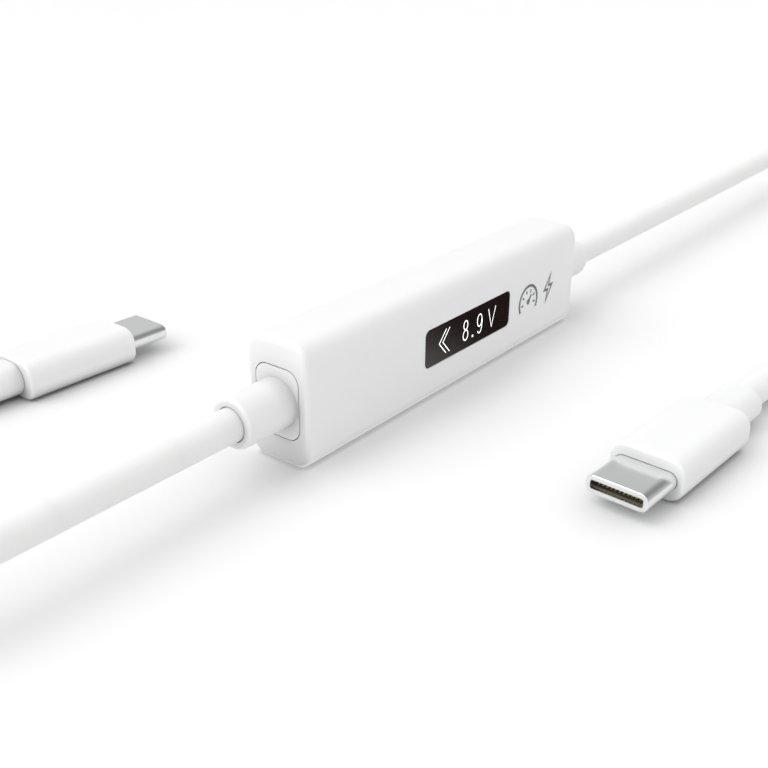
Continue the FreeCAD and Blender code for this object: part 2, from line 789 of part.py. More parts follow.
def strain_relief(name, placement):
    """The moulded insert in the end wall, with its inner flange and round collar. X points outwards."""
    body = new_body(name)
    insert = sketch_on(body, "YZ_Plane", out=-D["end_wall"])
    add_rounded_rectangle(insert, D["insert_width"], D["insert_height"], D["insert_corner"])
    pad(body, insert, D["end_wall"])
    border = D["flange_border"] * 2
    flange = sketch_on(body, "YZ_Plane", out=-(D["end_wall"] + D["fit_gap"]))
    add_rounded_rectangle(
        flange, D["insert_width"] - 0.4, D["insert_height"] + border, D["insert_corner"]
    )
    pad(body, flange, D["flange_thickness"], backwards=True)
    bridge = sketch_on(body, "YZ_Plane", out=-(D["end_wall"] + D["fit_gap"]))
    add_rounded_rectangle(bridge, D["insert_width"] - 0.4, D["insert_height"] - 0.4, D["insert_corner"])
    pad(body, bridge, D["fit_gap"] * 2)
    collar = sketch_on(body, "YZ_Plane")
    add_circle(collar, D["collar_diameter"])
    pad(body, collar, D["collar_length"])
    round_edges(body, D["collar_edge"], lies_at(AXIS_X, D["collar_length"].value))
    bore = sketch_on(body, "YZ_Plane", out=-(D["end_wall"] + 2))
    add_circle(bore, D["cable_diameter"] + D["collar_clearance"])
    pocket(body, bore, D["end_wall"] + D["collar_length"] + 3, backwards=True)
    keep(body, name, placement)


def cable_entry(name, placement):
    """The end of the cable's jacket, held in the strain relief. X points outwards."""
    inner = -(D["end_wall"] + D["fit_gap"] + D["flange_thickness"] + D["entry_length"])
    length = D["collar_length"] + D["entry_reach"] - inner
    jacket = boolean("Cut", rod(D["cable_diameter"], length, inner), rod(BORE, length, inner))
    keep(jacket, name, placement)


def lead_wires(name, placement):
    """The conductors inside the entry, and four leads fanned out to the board. X points outwards."""
    inner = -(D["end_wall"] + D["fit_gap"] + D["flange_thickness"] + D["entry_length"])
    bend = D["collar_length"] + D["entry_reach"] + D["bend_gap"]
    core = boolean("Fuse", rod(D["core_diameter"], bend - inner, inner), ball(D["core_diameter"], bend.value))
    board_end = D["board_length"].value / 2 - D["case_length"].value / 2
    y_side = -1 if name.endswith("short") else 1
    y = (D["board_front"].value - D["lead_diameter"].value / 2 - 0.02) * y_side
    leads = []
    for row in (-1.5, -0.5, 0.5, 1.5):
        start = Vector(inner.value - 0.35, y, row * 0.85)
        end = Vector(board_end - 1.2, y, row * 2.2)
        leads.append(lead(start, end, D["lead_diameter"]))
    group = doc.addObject("Part::Compound", name)
    group.Links = [core] + leads
    keep(group, name, placement)


def case_ends():
    half = D["case_length"].value / 2
    for side, sign in (("long", 1), ("short", -1)):
        place = Vector(sign * half, 0, AXIS_HEIGHT.value)
        placement = Placement(place, Rotation(AXIS_Z, 0 if sign > 0 else 180))
        strain_relief("strain_relief_" + side, placement)
        cable_entry("cable_entry_" + side, placement)
        lead_wires("lead_wires_" + side, placement)


# ---------------------------------------------------------------- plugs (X points out of the mouth)


def plug_shell(name, placement):
    """The steel shell: a flat oval tube, with a lip at the mouth that closes in around the slot."""
    body = new_body(name)
    outside = sketch_on(body, "YZ_Plane")
    add_slot(outside, D["shell_width"], D["shell_height"])
    pad(body, outside, D["shell_length"], backwards=True)
    round_edges(body, D["lip_round"], lies_at(AXIS_X, 0.0))
    inside = sketch_on(body, "YZ_Plane", out=-D["lip_depth"])
    wall = D["shell_wall"] * 2
    add_slot(inside, D["shell_width"] - wall, D["shell_height"] - wall)
    pocket(body, inside, D["shell_length"])
    mouth = sketch_on(body, "YZ_Plane")
    add_rounded_rectangle(mouth, D["mouth_width"], D["mouth_height"], D["mouth_corner"])
    pocket(body, mouth, D["lip_depth"] + 0.5)
    keep(body, name, placement)


def plug_housing(name, placement):
    """The insulator: a slot for the socket's tongue, a groove for each contact, side slots for the latch."""
    body = new_body(name)
    gap = (D["shell_wall"] + D["fit_gap"] / 2) * 2
    outside = sketch_on(body, "YZ_Plane", out=-D["housing_setback"])
    add_slot(outside, D["shell_width"] - gap, D["shell_height"] - gap)
    pad(body, outside, D["housing_length"], backwards=True)
    slot = sketch_on(body, "YZ_Plane")
    add_rectangle(slot, D["tongue_slot_width"], D["tongue_slot_height"])
    pocket(body, slot, D["tongue_slot_depth"] + D["housing_setback"])
    grooves = sketch_on(body, "YZ_Plane", out=-D["groove_start"])
    for i in range(CONTACTS_IN_A_ROW):
        centre = D["contact_pitch"] * (i - (CONTACTS_IN_A_ROW - 1) / 2)
        add_rectangle(grooves, D["contact_width"] + 0.04, D["contact_groove_height"], centre)
    pocket(body, grooves, D["housing_length"] + 1)
    latches = sketch_on(body, "YZ_Plane")
    for side in (-1, 1):
        add_rectangle(
            latches,
            D["latch_thickness"] + 0.1,
            D["latch_height"] + 0.06,
            (D["tongue_slot_width"] + D["latch_thickness"]) / 2 * side,
        )
    pocket(body, latches, D["housing_length"] + 1)
    keep(body, name, placement)


def plug_contacts(name, placement):
    """Two rows of sprung contacts: each dips towards the tongue near its tip and ends on the paddle board."""
    profile = (
        (-1.2, 0.56), (-1.9, 0.36), (-2.5, 0.36), (-4.6, 0.46), (-10.0, 0.46),
        (-10.0, 0.6), (-4.6, 0.6), (-2.4, 0.5), (-2.0, 0.5), (-1.3, 0.7),
    )
    strips = []
    for i in range(CONTACTS_IN_A_ROW):
        left = D["contact_pitch"].value * (i - (CONTACTS_IN_A_ROW - 1) / 2) - D["contact_width"].value / 2
        for side in (-1, 1):
            corners = [Vector(x, left, side * z) for x, z in profile]
            face = Part.Face(Part.makePolygon(corners + corners[:1]))
            strips.append(face.extrude(Vector(0, D["contact_width"].value, 0)))
    group = doc.addObject("Part::Feature", name)
    group.Shape = Part.makeCompound(strips)
    keep(group, name, placement)


def latch_spring(name, placement):
    """The bent steel latch: an arm down each side of the tongue slot and a bridge behind the housing."""
    body = new_body(name)
    inside = D["tongue_slot_width"].value / 2 + 0.03
    outside = inside + D["latch_thickness"].value
    tip, bridge_front = -1.4, -(D["housing_setback"] + D["housing_length"]).value - 0.05
    bridge_rear = bridge_front - D["latch_thickness"].value
    strip = sketch_on(body, "XY_Plane")
    arm = [(tip, inside), (bridge_front, inside)]
    mirrored = [(x, -y) for x, y in reversed(arm)]
    back = [(tip, -outside), (bridge_rear, -outside), (bridge_rear, outside), (tip, outside)]
    add_outline(strip, arm + mirrored + back)
    pad(body, strip, D["latch_height"], symmetric=True)
    keep(body, name, placement)


def paddle_front():
    return D["housing_setback"] + D["housing_length"] + D["latch_thickness"] + 0.15


def plug_board(name, placement):
    body = new_body(name)
    outline = sketch_on(body, "XY_Plane", across=-(paddle_front() + D["paddle_length"] / 2))
    add_rectangle(outline, D["paddle_length"], D["paddle_width"] - 0.6)
    pad(body, outline, D["paddle_thickness"], symmetric=True)
    keep(body, name, placement)


def marker_chip(name, placement):
    """The cable's identity chip on the paddle board."""
    side, height = 2.0, 0.6
    chip = doc.addObject("Part::Box", "marker_block")
    bind(chip, Length=side, Width=side, Height=height)
    bind(
        chip,
        Placement__Base__x=-(paddle_front() + D["paddle_length"] / 2),
        Placement__Base__y=-side / 2,
        Placement__Base__z=D["paddle_thickness"] / 2,
    )
    group = doc.addObject("Part::Compound", name)
    group.Links = [chip]
    keep(group, name, placement)


def plug_boot(name, placement):
    """The moulded grip: a rounded sleeve, closed in front around the shell and behind around the neck."""
    body = new_body(name)
    outside = sketch_on(body, "YZ_Plane", out=-D["shell_reach"])
    add_rounded_rectangle(outside, D["boot_width"], D["boot_height"], D["boot_corner"])
    pad(body, outside, D["boot_length"], backwards=True)
    front, rear = -D["shell_reach"].value, -(D["shell_reach"] + D["boot_length"]).value
    at_ends = (lies_at(AXIS_X, front), lies_at(AXIS_X, rear))
    round_edges(body, D["boot_edge"], lambda edge: any(test(edge) for test in at_ends))
    hollow = sketch_on(body, "YZ_Plane", out=-(D["shell_reach"] + D["boot_front_wall"]))
    wall = D["boot_side_wall"] * 2
    add_rounded_rectangle(
        hollow, D["boot_width"] - wall, D["boot_height"] - wall, D["boot_corner"] - D["boot_side_wall"]
    )
    pocket(body, hollow, D["boot_length"] - D["boot_front_wall"] - D["boot_rear_wall"])
    mouth = sketch_on(body, "YZ_Plane", out=-D["shell_reach"])
    gap = D["fit_gap"] * 2
    add_slot(mouth, D["shell_width"] + gap, D["shell_height"] + gap)
    pocket(body, mouth, D["boot_front_wall"] + 0.5)
    exit_hole = sketch_on(body, "YZ_Plane", out=-(D["shell_reach"] + D["boot_length"] - 5))
    step = D["neck_step"] - D["fit_gap"] * 2
    add_slot(exit_hole, D["neck_width"] - step, D["neck_height"] - step)
    pocket(body, exit_hole, 6)
    keep(body, name, placement)


def plug_strain_relief(name, placement):
    """The inner mould that fills the back of the boot, and the short oval neck around the cable."""
    body = new_body(name)
    rear = D["shell_reach"] + D["boot_length"]
    inside = rear - D["boot_rear_wall"] - D["fit_gap"]
    fill = (D["boot_side_wall"] + D["fit_gap"]) * 2
    inner = sketch_on(body, "YZ_Plane", out=-inside)
    add_rounded_rectangle(
        inner, D["boot_width"] - fill, D["boot_height"] - fill, D["boot_corner"] - fill / 2
    )
    pad(body, inner, D["inner_mould_length"])
    bridge = sketch_on(body, "YZ_Plane", out=-inside)
    add_slot(bridge, D["neck_width"] - D["neck_step"], D["neck_height"] - D["neck_step"])
    pad(body, bridge, D["boot_rear_wall"] + 1, backwards=True)
    neck = sketch_on(body, "YZ_Plane", out=-(rear + D["fit_gap"]))
    add_slot(neck, D["neck_width"], D["neck_height"])
    pad(body, neck, D["neck_length"] - D["fit_gap"], backwards=True)
    end = -(rear + D["neck_length"]).value
    round_edges(body, 0.35, lies_at(AXIS_X, end))
    core_bore = sketch_on(body, "YZ_Plane")
    add_circle(core_bore, BORE)
    pocket(body, core_bore, rear + D["neck_length"] + 1)
    jacket_bore = sketch_on(body, "YZ_Plane", out=-(rear + D["neck_blind"]))
    add_circle(jacket_bore, D["cable_diameter"] + D["fit_gap"])
    pocket(body, jacket_bore, D["neck_length"] + 1)
    keep(body, name, placement)


def plug_cable_end(jacket_name, leads_name, placement):
    """The end of the cable inside the plug: the jacket, and the conductors with their leads to the board."""
    outer_end = -(D["shell_reach"] + D["boot_length"] + D["neck_length"])
    inner_end = -(paddle_front() + D["paddle_length"] + 1)
    length = inner_end - outer_end
    held = D["neck_length"] - D["neck_blind"] - D["fit_gap"]
    jacket = boolean("Cut", rod(D["cable_diameter"], held, outer_end), rod(BORE, held, outer_end))
    keep(jacket, jacket_name, placement)
    core = boolean(
        "Cut",
        rod(D["core_diameter"], length, outer_end),
        ball(BORE, (outer_end - D["bend_gap"]).value),
    )
    board_end = -(paddle_front() + D["paddle_length"]).value
    radius = 0.35
    height = D["paddle_thickness"].value / 2 + radius + 0.02
    leads = []
    for side in (-1, 1):
        for across in PLUG_LEAD_SPREAD:
            start = Vector(inner_end.value + 0.3, across * 0.45, side * height)
            end = Vector(board_end + 1.5, across, side * height)
            leads.append(lead(start, end, radius * 2))
    group = doc.addObject("Part::Compound", leads_name)
    group.Links = [core] + leads
    keep(group, leads_name, placement)


def plugs(plug_frames):
    mouth_distance = D["shell_reach"] + D["boot_length"] + D["neck_length"] + D["bend_gap"]
    for side, frame in plug_frames.items():
        placement = frame.placement(frame.ahead, frame.across, frame.moved(mouth_distance.value).place)
        plug_shell("plug_shell_" + side, placement)
        plug_housing("plug_housing_" + side, placement)
        plug_contacts("plug_contacts_" + side, placement)
        latch_spring("latch_spring_" + side, placement)
        plug_board("plug_board_" + side, placement)
        plug_boot("plug_boot_" + side, placement)
        plug_strain_relief("plug_strain_relief_" + side, placement)
        plug_cable_end("plug_cable_jacket_" + side, "plug_leads_" + side, placement)
        if side == "long":
            marker_chip("marker_chip", placement)


# ---------------------------------------------------------------- build, check and write


def build():
    case_shell()
    back_cover()
    display_window()
    window_tape()
    oled_panel()
    oled_flex()
    oled_cradle()
    main_board()
    board_components()
    case_ends()
    plugs(cables())


def check_and_write():
    doc.recompute()
    failed = [o.Name for o in doc.Objects if "Invalid" in o.State or "Error" in o.State]
    if failed:
        raise RuntimeError(f"failed objects: {failed}")
    os.makedirs("parts", exist_ok=True)
    for part in parts:
        shape = part.Shape
        if shape.isNull() or not shape.isValid() or not shape.Solids:
            raise RuntimeError(f"{part.Label} has no valid solid")
        shape.exportStep(os.path.join("parts", part.Label + ".step"))
        print(f"{part.Label:28s} {len(shape.Solids):3d} solids {shape.Volume:10.2f} mm3")


build()
check_and_write()
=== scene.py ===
"""The looks of an inline power meter: satin white case, lit display, two cables and their plugs.

Everything is in metres, in the frame's own axes: +X along the case, the display faces -Y, +Z is up.
"""

import json
import math

import bmesh
import bpy
from mathutils import Matrix, Vector


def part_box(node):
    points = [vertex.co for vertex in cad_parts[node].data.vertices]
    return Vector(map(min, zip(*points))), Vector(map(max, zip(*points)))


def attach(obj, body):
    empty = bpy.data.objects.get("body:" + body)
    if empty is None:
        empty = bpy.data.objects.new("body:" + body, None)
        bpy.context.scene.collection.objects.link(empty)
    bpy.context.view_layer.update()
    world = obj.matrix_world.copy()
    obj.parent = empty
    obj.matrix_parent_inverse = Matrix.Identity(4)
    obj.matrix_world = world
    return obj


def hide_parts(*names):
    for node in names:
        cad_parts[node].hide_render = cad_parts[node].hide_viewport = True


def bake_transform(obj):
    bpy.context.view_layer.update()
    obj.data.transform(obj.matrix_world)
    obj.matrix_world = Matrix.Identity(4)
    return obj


MM = 0.001
SIDES = ("short", "long")
CABLE_SIDES = 40
CABLE_STEP = 0.9 * MM
ARC_STEPS = 160
BORE_STEP = 2 * MM

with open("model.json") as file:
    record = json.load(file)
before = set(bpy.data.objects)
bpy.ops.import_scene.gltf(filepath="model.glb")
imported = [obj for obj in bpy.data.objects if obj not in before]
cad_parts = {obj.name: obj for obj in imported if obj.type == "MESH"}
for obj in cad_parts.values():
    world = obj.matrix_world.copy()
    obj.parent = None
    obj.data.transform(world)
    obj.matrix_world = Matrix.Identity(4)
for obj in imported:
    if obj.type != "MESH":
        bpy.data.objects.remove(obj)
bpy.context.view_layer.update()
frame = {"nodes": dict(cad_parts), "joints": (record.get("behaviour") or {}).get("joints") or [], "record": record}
record = frame["record"]
joints = {j["name"]: j for j in frame["joints"]}
mounts = {m["name"]: m for m in record["mounts"]}


# ---------------------------------------------------------------- node helpers


class Nodes:
    """A short way to wire up one material, or the world."""

    def __init__(self, name, owners=bpy.data.materials, output="ShaderNodeOutputMaterial"):
        self.owner = owners.new(name)
        self.owner.use_nodes = True
        self.tree = self.owner.node_tree
        self.tree.nodes.clear()
        self.output = self.tree.nodes.new(output)
        self.coords = self.tree.nodes.new("ShaderNodeTexCoord")

    def add(self, kind, values=None, **settings):
        node = self.tree.nodes.new(kind)
        for key, value in settings.items():
            setattr(node, key, value)
        for key, value in (values or {}).items():
            if isinstance(value, bpy.types.NodeSocket):
                self.tree.links.new(value, node.inputs[key])
            else:
                node.inputs[key].default_value = value
        return node

    def where(self, stretch=(1, 1, 1)):
        """Object coordinates in millimetres, stretched."""
        scale = tuple(s / MM for s in stretch)
        node = self.add("ShaderNodeMapping", {"Vector": self.coords.outputs["Object"], "Scale": scale})
        return node.outputs["Vector"]

    def noise(self, size_mm, detail=3.0, stretch=(1, 1, 1)):
        values = {"Vector": self.where(stretch), "Scale": 1 / size_mm, "Detail": detail, "Roughness": 0.55}
        return self.add("ShaderNodeTexNoise", values).outputs["Fac"]

    def spread(self, source, low, high):
        """A noise, which mostly lies between 0.25 and 0.75, brought to the range from low to high."""
        values = {"Value": source, "From Min": 0.25, "From Max": 0.75, "To Min": low, "To Max": high}
        return self.add("ShaderNodeMapRange", values).outputs["Result"]

    def tint(self, colour, source, amount):
        """The colour, a little darker and lighter with the source."""
        darker = tuple(c * (1 - amount) for c in colour[:3]) + (1,)
        lighter = tuple(min(1, c * (1 + amount)) for c in colour[:3]) + (1,)
        return self.blend(source, darker, lighter)

    def blend(self, source, first, second):
        node = self.add("ShaderNodeMix", data_type="RGBA")
        sockets = [s for s in node.inputs if s.enabled]
        for socket, value in zip(sockets, (source, first, second)):
            if isinstance(value, bpy.types.NodeSocket):
                self.tree.links.new(value, socket)
            else:
                socket.default_value = value
        return next(s for s in node.outputs if s.enabled)

    def sum(self, *terms):
        total = 0.0
        for term in terms:
            total = self.math("ADD", total, term)
        return total

    def math(self, operation, *values):
        return self.add("ShaderNodeMath", dict(enumerate(values)), operation=operation).outputs[0]

    def part(self, vector, axis):
        """One of the three numbers of a vector."""
        return self.add("ShaderNodeSeparateXYZ", {0: vector}).outputs[axis]

    def hidden(self, reach_mm):
        """0 in the open, up to 1 where other surfaces are near."""
        node = self.add("ShaderNodeAmbientOcclusion", {"Distance": reach_mm * MM}, samples=12)
        return self.math("SUBTRACT", 1.0, node.outputs["AO"])

    def painted_shade(self, reach_mm, depth, ends_only=False):
        """Painted shade: 1 in the open, less by up to the depth where other surfaces are near."""
        hidden = self.hidden(reach_mm)
        # with ends_only, the painted shade is weighted by how much a face points along X, so it falls on the ends
        # of the case
        if ends_only:
            across = self.part(self.add("ShaderNodeNewGeometry").outputs["Normal"], "X")
            hidden = self.math("MULTIPLY", hidden, self.math("MULTIPLY", across, across))
        return self.math("SUBTRACT", 1.0, self.math("MULTIPLY", hidden, depth))

    def under_edge(self, reach_mm):
        """Mask for painted light: 0 in the open, up to 1 on the underside of an edge standing on the table."""
        place = self.add("ShaderNodeNewGeometry")
        up = self.part(place.outputs["Normal"], "Z")
        down = self.math("MAXIMUM", self.math("MULTIPLY", up, -1.0), 0.0)
        low = self.math("LESS_THAN", self.part(place.outputs["Position"], "Z"), reach_mm * MM)
        return self.math("MULTIPLY", self.hidden(reach_mm), self.math("MULTIPLY", down, low))

    def dimmed(self, colour, level):
        """The colour times a level."""
        return self.blend(level, rgb(0, 0, 0), colour)

    def mix(self, share, first, second):
        node = self.add("ShaderNodeMixShader", {0: share, 1: first, 2: second})
        return node.outputs[0]

    def bump(self, height, depth_mm, normal=None):
        values = {"Height": height, "Distance": depth_mm * MM, "Strength": 1.0}
        if normal is not None:
            values["Normal"] = normal
        return self.add("ShaderNodeBump", values).outputs["Normal"]

    def surface(self, **values):
        """Ends the material in a Principled surface; an underscore in a name stands for a space."""
        inputs = {key.replace("_", " "): value for key, value in values.items()}
        shader = self.add("ShaderNodeBsdfPrincipled", inputs)
        return self.end(shader.outputs[0])

    def end(self, shader):
        self.tree.links.new(shader, self.output.inputs[0])
        return self.owner


def rgb(red, green, blue):
    return (red, green, blue, 1.0)


# ---------------------------------------------------------------- materials


def moulded(name, colour, roughness=0.38, grain_mm=0.09, soft=0.12, painted_shade=None, painted_edge_light=0.0):
    """Moulded plastic: fine spark-eroded grain, faint flow marks, slightly uneven sheen and some depth.

    Of the last two arguments, the first paints shade: how far and how much near surfaces darken the
    colour. The second paints light: the strength of a glow along the lower edges, where they stand on the table.
    """
    n = Nodes(name)
    grain_depth_mm, wave_depth_mm, painted_edge_reach_mm = 0.0016, 0.004, 1.5
    level = n.painted_shade(*painted_shade) if painted_shade else 1.0
    flow = n.noise(7.0, stretch=(0.4, 1, 1))
    grain = n.noise(grain_mm, detail=1.5)
    normal = n.bump(grain, grain_depth_mm, n.bump(n.noise(2.6), wave_depth_mm))
    return n.surface(
        # painted shade: the colour is darkened where other surfaces are near
        Base_Color=n.dimmed(n.tint(colour, flow, 0.012), level),
        Roughness=n.spread(n.noise(1.4), roughness - 0.05, roughness + 0.05),
        Normal=normal,
        Subsurface_Weight=soft,
        Subsurface_Radius=(1.0, 0.9, 0.8),
        Subsurface_Scale=0.9 * MM,
        # painted light: the lower edges that stand on the table glow in the plastic's own colour
        Emission_Color=rgb(*colour),
        Emission_Strength=n.math("MULTIPLY", n.under_edge(painted_edge_reach_mm), painted_edge_light) if painted_edge_light else 0.0,
        IOR=1.49,
    )


def elastomer(name, colour):
    """Extruded cable jacket: smooth, a little softer in sheen, with faint draw lines and shallow waviness."""
    n = Nodes(name)
    skin = n.noise(0.16, detail=2.0)
    normal = n.bump(skin, 0.0022, n.bump(n.noise(4.0), 0.012))
    return n.surface(
        Base_Color=n.tint(colour, n.noise(9.0), 0.014),
        Roughness=n.spread(n.noise(1.1), 0.42, 0.54),
        Normal=normal,
        Subsurface_Weight=0.15,
        Subsurface_Radius=(1.0, 0.9, 0.8),
        Subsurface_Scale=0.9 * MM,
        Sheen_Weight=0.06,
        IOR=1.47,
    )


def smoked_window(name):
    """Smoked acrylic: what lies behind shows through darkly, under a reflection painted to fade along it."""
    n = Nodes(name)
    low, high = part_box("display_window")
    # painted reflection: the reflection is brightest at the window's lower -X corner and fades along +X and
    # upwards
    fade_across, fade_up, fade_power = -1.1, -0.55, 1.8
    fade = Vector((fade_across / (high.x - low.x), 0, fade_up / (high.z - low.z)))
    along = n.add("ShaderNodeVectorMath", {0: n.coords.outputs["Object"], 1: fade}, operation="DOT_PRODUCT")
    corner = fade.dot(low)
    limits = {"Value": along.outputs["Value"], "From Min": corner - 1, "From Max": corner}
    level = n.add("ShaderNodeMapRange", limits).outputs["Result"]
    glow = n.math("POWER", level, fade_power)
    clean = n.bump(n.noise(5.0), 0.0015)
    smoke = n.tint((0.2, 0.19, 0.185), n.noise(3.0), 0.05)
    through = n.add("ShaderNodeBsdfTransparent", {"Color": smoke})
    haze = n.add("ShaderNodeBsdfDiffuse", {"Color": rgb(0.019, 0.011, 0.01), "Normal": clean})
    body = n.mix(0.7, through.outputs[0], haze.outputs[0])
    rough = n.spread(n.noise(0.8), 0.05, 0.11)
    # the painted fade sets the reflection's colour from near black to near white
    colour = n.blend(glow, rgb(0.05, 0.04, 0.04), rgb(0.97, 1, 0.96))
    shine = n.add("ShaderNodeBsdfGlossy", {"Color": colour, "Roughness": rough, "Normal": clean})
    fresnel = n.add("ShaderNodeFresnel", {"IOR": 1.6, "Normal": clean}).outputs[0]
    return n.end(n.mix(fresnel, body, shine.outputs[0]))


def lit_pixels(name):
    """Cool white light from the display, a little uneven from pixel to pixel."""
    n = Nodes(name)
    pixel_mm = 0.17
    grid = {"Vector": n.where(), "Scale": 1 / pixel_mm}
    cells = n.add("ShaderNodeTexVoronoi", grid).outputs["Distance"]
    limits = {"Value": cells, "To Min": 1.12, "To Max": 0.92}
    strength = n.add("ShaderNodeMapRange", limits).outputs["Result"]
    return n.surface(
        Base_Color=rgb(0.9, 0.9, 0.9),
        Roughness=0.4,
        Emission_Color=n.tint((1.0, 0.99, 0.97), n.noise(1.0), 0.02),
        Emission_Strength=strength,
    )


def printed_ink(name, colour):
    """A thin pad-printed ink with a slightly mottled cover."""
    n = Nodes(name)
    return n.surface(
        Base_Color=n.tint(colour, n.noise(0.25), 0.06),
        Roughness=n.spread(n.noise(0.5), 0.4, 0.6),
        Normal=n.bump(n.noise(0.06), 0.001),
    )


def metal(name, colour, roughness=0.2, along=(0.05, 1, 1), line_depth=0.0002, metallic=1.0):
    """Drawn and plated metal: smooth, with fine lines along one direction and a faint cloudiness."""
    n = Nodes(name)
    lines = n.noise(0.12, detail=2.0, stretch=along)
    return n.surface(
        Base_Color=n.tint(colour, n.noise(2.2), 0.02),
        Metallic=metallic,
        Roughness=n.spread(lines, roughness - 0.02, roughness + 0.03),
        Normal=n.bump(lines, line_depth),
    )


def circuit_board(name):
    """Green solder resist over copper tracks, with small tinned pads."""
    n = Nodes(name)
    brick = {
        "Vector": n.where(),
        "Scale": 0.55,
        "Mortar Size": 0.045,
        "Brick Width": 1.7,
        "Row Height": 0.8,
    }
    tracks = n.add("ShaderNodeTexBrick", brick).outputs["Fac"]
    cells = n.add("ShaderNodeTexVoronoi", {"Vector": n.where(), "Scale": 0.42}).outputs["Distance"]
    pads = n.math("LESS_THAN", cells, 0.13)
    green = n.blend(tracks, rgb(0.012, 0.12, 0.045), rgb(0.03, 0.2, 0.075))
    return n.surface(
        Base_Color=n.blend(pads, green, rgb(0.78, 0.78, 0.76)),
        Metallic=pads,
        Roughness=n.spread(n.noise(0.6), 0.28, 0.42),
        Normal=n.bump(tracks, 0.03),
    )


def epoxy(name, colour, roughness=0.55):
    """Black moulding compound or fired ceramic with a pitted, powdery face."""
    n = Nodes(name)
    pits = n.noise(0.05, detail=4.0)
    return n.surface(
        Base_Color=n.tint(colour, n.noise(0.5), 0.12),
        Roughness=n.spread(pits, roughness - 0.1, roughness + 0.12),
        Normal=n.bump(pits, 0.004),
    )


def film(name, colour, stripe_mm):
    """Polyimide film or insulated wire: translucent colour with fine stripes."""
    n = Nodes(name)
    wave = {"Vector": n.where(), "Scale": 1 / stripe_mm, "Distortion": 0.3}
    stripes = n.add("ShaderNodeTexWave", wave, bands_direction="Z").outputs["Fac"]
    return n.surface(
        Base_Color=n.tint(colour, stripes, 0.22),
        Roughness=n.spread(n.noise(0.4), 0.25, 0.42),
        Normal=n.bump(stripes, 0.006),
    )


def foil(name):
    """Crinkled metal foil around the conductors."""
    n = Nodes(name)
    creases = n.noise(0.35, detail=5.0)
    return n.surface(
        Base_Color=n.tint((0.75, 0.76, 0.78), n.noise(1.5), 0.06),
        Metallic=1.0,
        Roughness=n.spread(creases, 0.2, 0.38),
        Normal=n.bump(creases, 0.04),
    )


def table_top(name):
    """A plain pale surface, faintly uneven like paper. It is dimmer as a reflector than to the camera,
    which alone sees painted shade: a broad soft darkening around the object, a dark line where it touches.
    """
    n = Nodes(name)
    seen = n.add("ShaderNodeLightPath").outputs["Is Camera Ray"]
    face = n.tint((0.9, 0.9, 0.9), n.noise(60.0), 0.004)
    # painted shade, seen only by the camera: a broad soft darkening around the object and a fine dark line where
    # it touches
    around, contact = n.painted_shade(9.0, 0.21), n.painted_shade(0.7, 0.45)
    shade = n.math("MULTIPLY", around, contact)
    return n.surface(
        Base_Color=n.blend(seen, rgb(0.8, 0.8, 0.8), n.dimmed(face, shade)),
        Roughness=n.spread(n.noise(3.0), 0.6, 0.7),
        Normal=n.bump(n.noise(0.4), 0.004),
        IOR=1.3,
    )


WHITE = (0.9, 0.9, 0.9)
GROMMET_WHITE = (0.895, 0.895, 0.893)
# painted shade where other surfaces are near: on the case's end faces, the grommets and the boots; and a painted
# glow along the case's lower edges
case_white = moulded("case_white", WHITE, roughness=0.34, painted_shade=(5.5, 0.74, True), painted_edge_light=0.5)
soft_kind = {"colour": GROMMET_WHITE, "roughness": 0.4, "grain_mm": 0.12}
grommet_white = moulded("grommet_white", painted_shade=(3.0, 0.58), **soft_kind)
boot_white = moulded("boot_white", soft=0.15, painted_shade=(2.5, 0.5), **soft_kind)
jacket_white = elastomer("jacket_white", (0.9, 0.9, 0.898))
black_moulding = moulded("black_moulding", (0.02, 0.02, 0.02), roughness=0.45, soft=0.0)
brown_moulding = moulded("brown_moulding", (0.1, 0.085, 0.06), roughness=0.4, soft=0.0)
plating = metal("satin_plating", (0.86, 0.875, 0.87), roughness=0.2)
spring = metal("spring_steel", (0.6, 0.6, 0.6))
gold = metal("gold_plating", (1.0, 0.9, 0.62), roughness=0.45, metallic=0.15)
LOOKS = {
    "case_shell": case_white,
    "back_cover": case_white,
    "display_window": smoked_window("smoked_window"),
    "window_tape": epoxy("foam_tape", (0.015, 0.015, 0.015), 0.8),
    "oled_panel": epoxy("panel_glass", (0.012, 0.01, 0.01), 0.2),
    "oled_flex": film("polyimide", (0.5, 0.22, 0.04), 0.5),
    "oled_cradle": black_moulding,
    "main_board": circuit_board("resist_green"),
    "microcontroller": epoxy("chip_black", (0.03, 0.03, 0.03)),
    "current_shunt": metal("shunt_alloy", (0.5, 0.44, 0.38), roughness=0.35),
    "sense_amplifier": epoxy("chip_black_2", (0.032, 0.031, 0.03)),
    "voltage_regulator": epoxy("chip_black_3", (0.028, 0.028, 0.03)),
    "ceramic_capacitors": epoxy("ceramic_tan", (0.42, 0.3, 0.18), 0.45),
    "strain_relief": grommet_white,
    "lead_wires": film("wire_insulation", (0.5, 0.04, 0.03), 0.9),
    "plug_shell": plating,
    "plug_housing": brown_moulding,
    "plug_contacts": gold,
    "latch_spring": spring,
    "plug_board": circuit_board("paddle_green"),
    "plug_boot": boot_white,
    "plug_strain_relief": boot_white,
    "plug_leads": film("lead_insulation", (0.08, 0.2, 0.42), 0.9),
    "marker_chip": epoxy("marker_black", (0.03, 0.03, 0.03)),
    "cable_": foil("shield_foil"),
    "plug_cable_jacket": jacket_white,
}


def dress_frame():
    """Gives each CAD node the material of the longest matching name."""
    for name, node in frame["nodes"].items():
        key = max((k for k in LOOKS if name.startswith(k)), key=len)
        node.data.materials.clear()
        node.data.materials.append(LOOKS[key])


# ---------------------------------------------------------------- meshes


def new_piece(name, bm, material):
    """A mesh object from a bmesh, with outward normals."""
    bmesh.ops.recalc_face_normals(bm, faces=bm.faces)
    mesh = bpy.data.meshes.new(name)
    bm.to_mesh(mesh)
    bm.free()
    mesh.materials.append(material)
    piece = bpy.data.objects.new(name, mesh)
    bpy.context.scene.collection.objects.link(piece)
    return piece


# ---------------------------------------------------------------- flexible cables


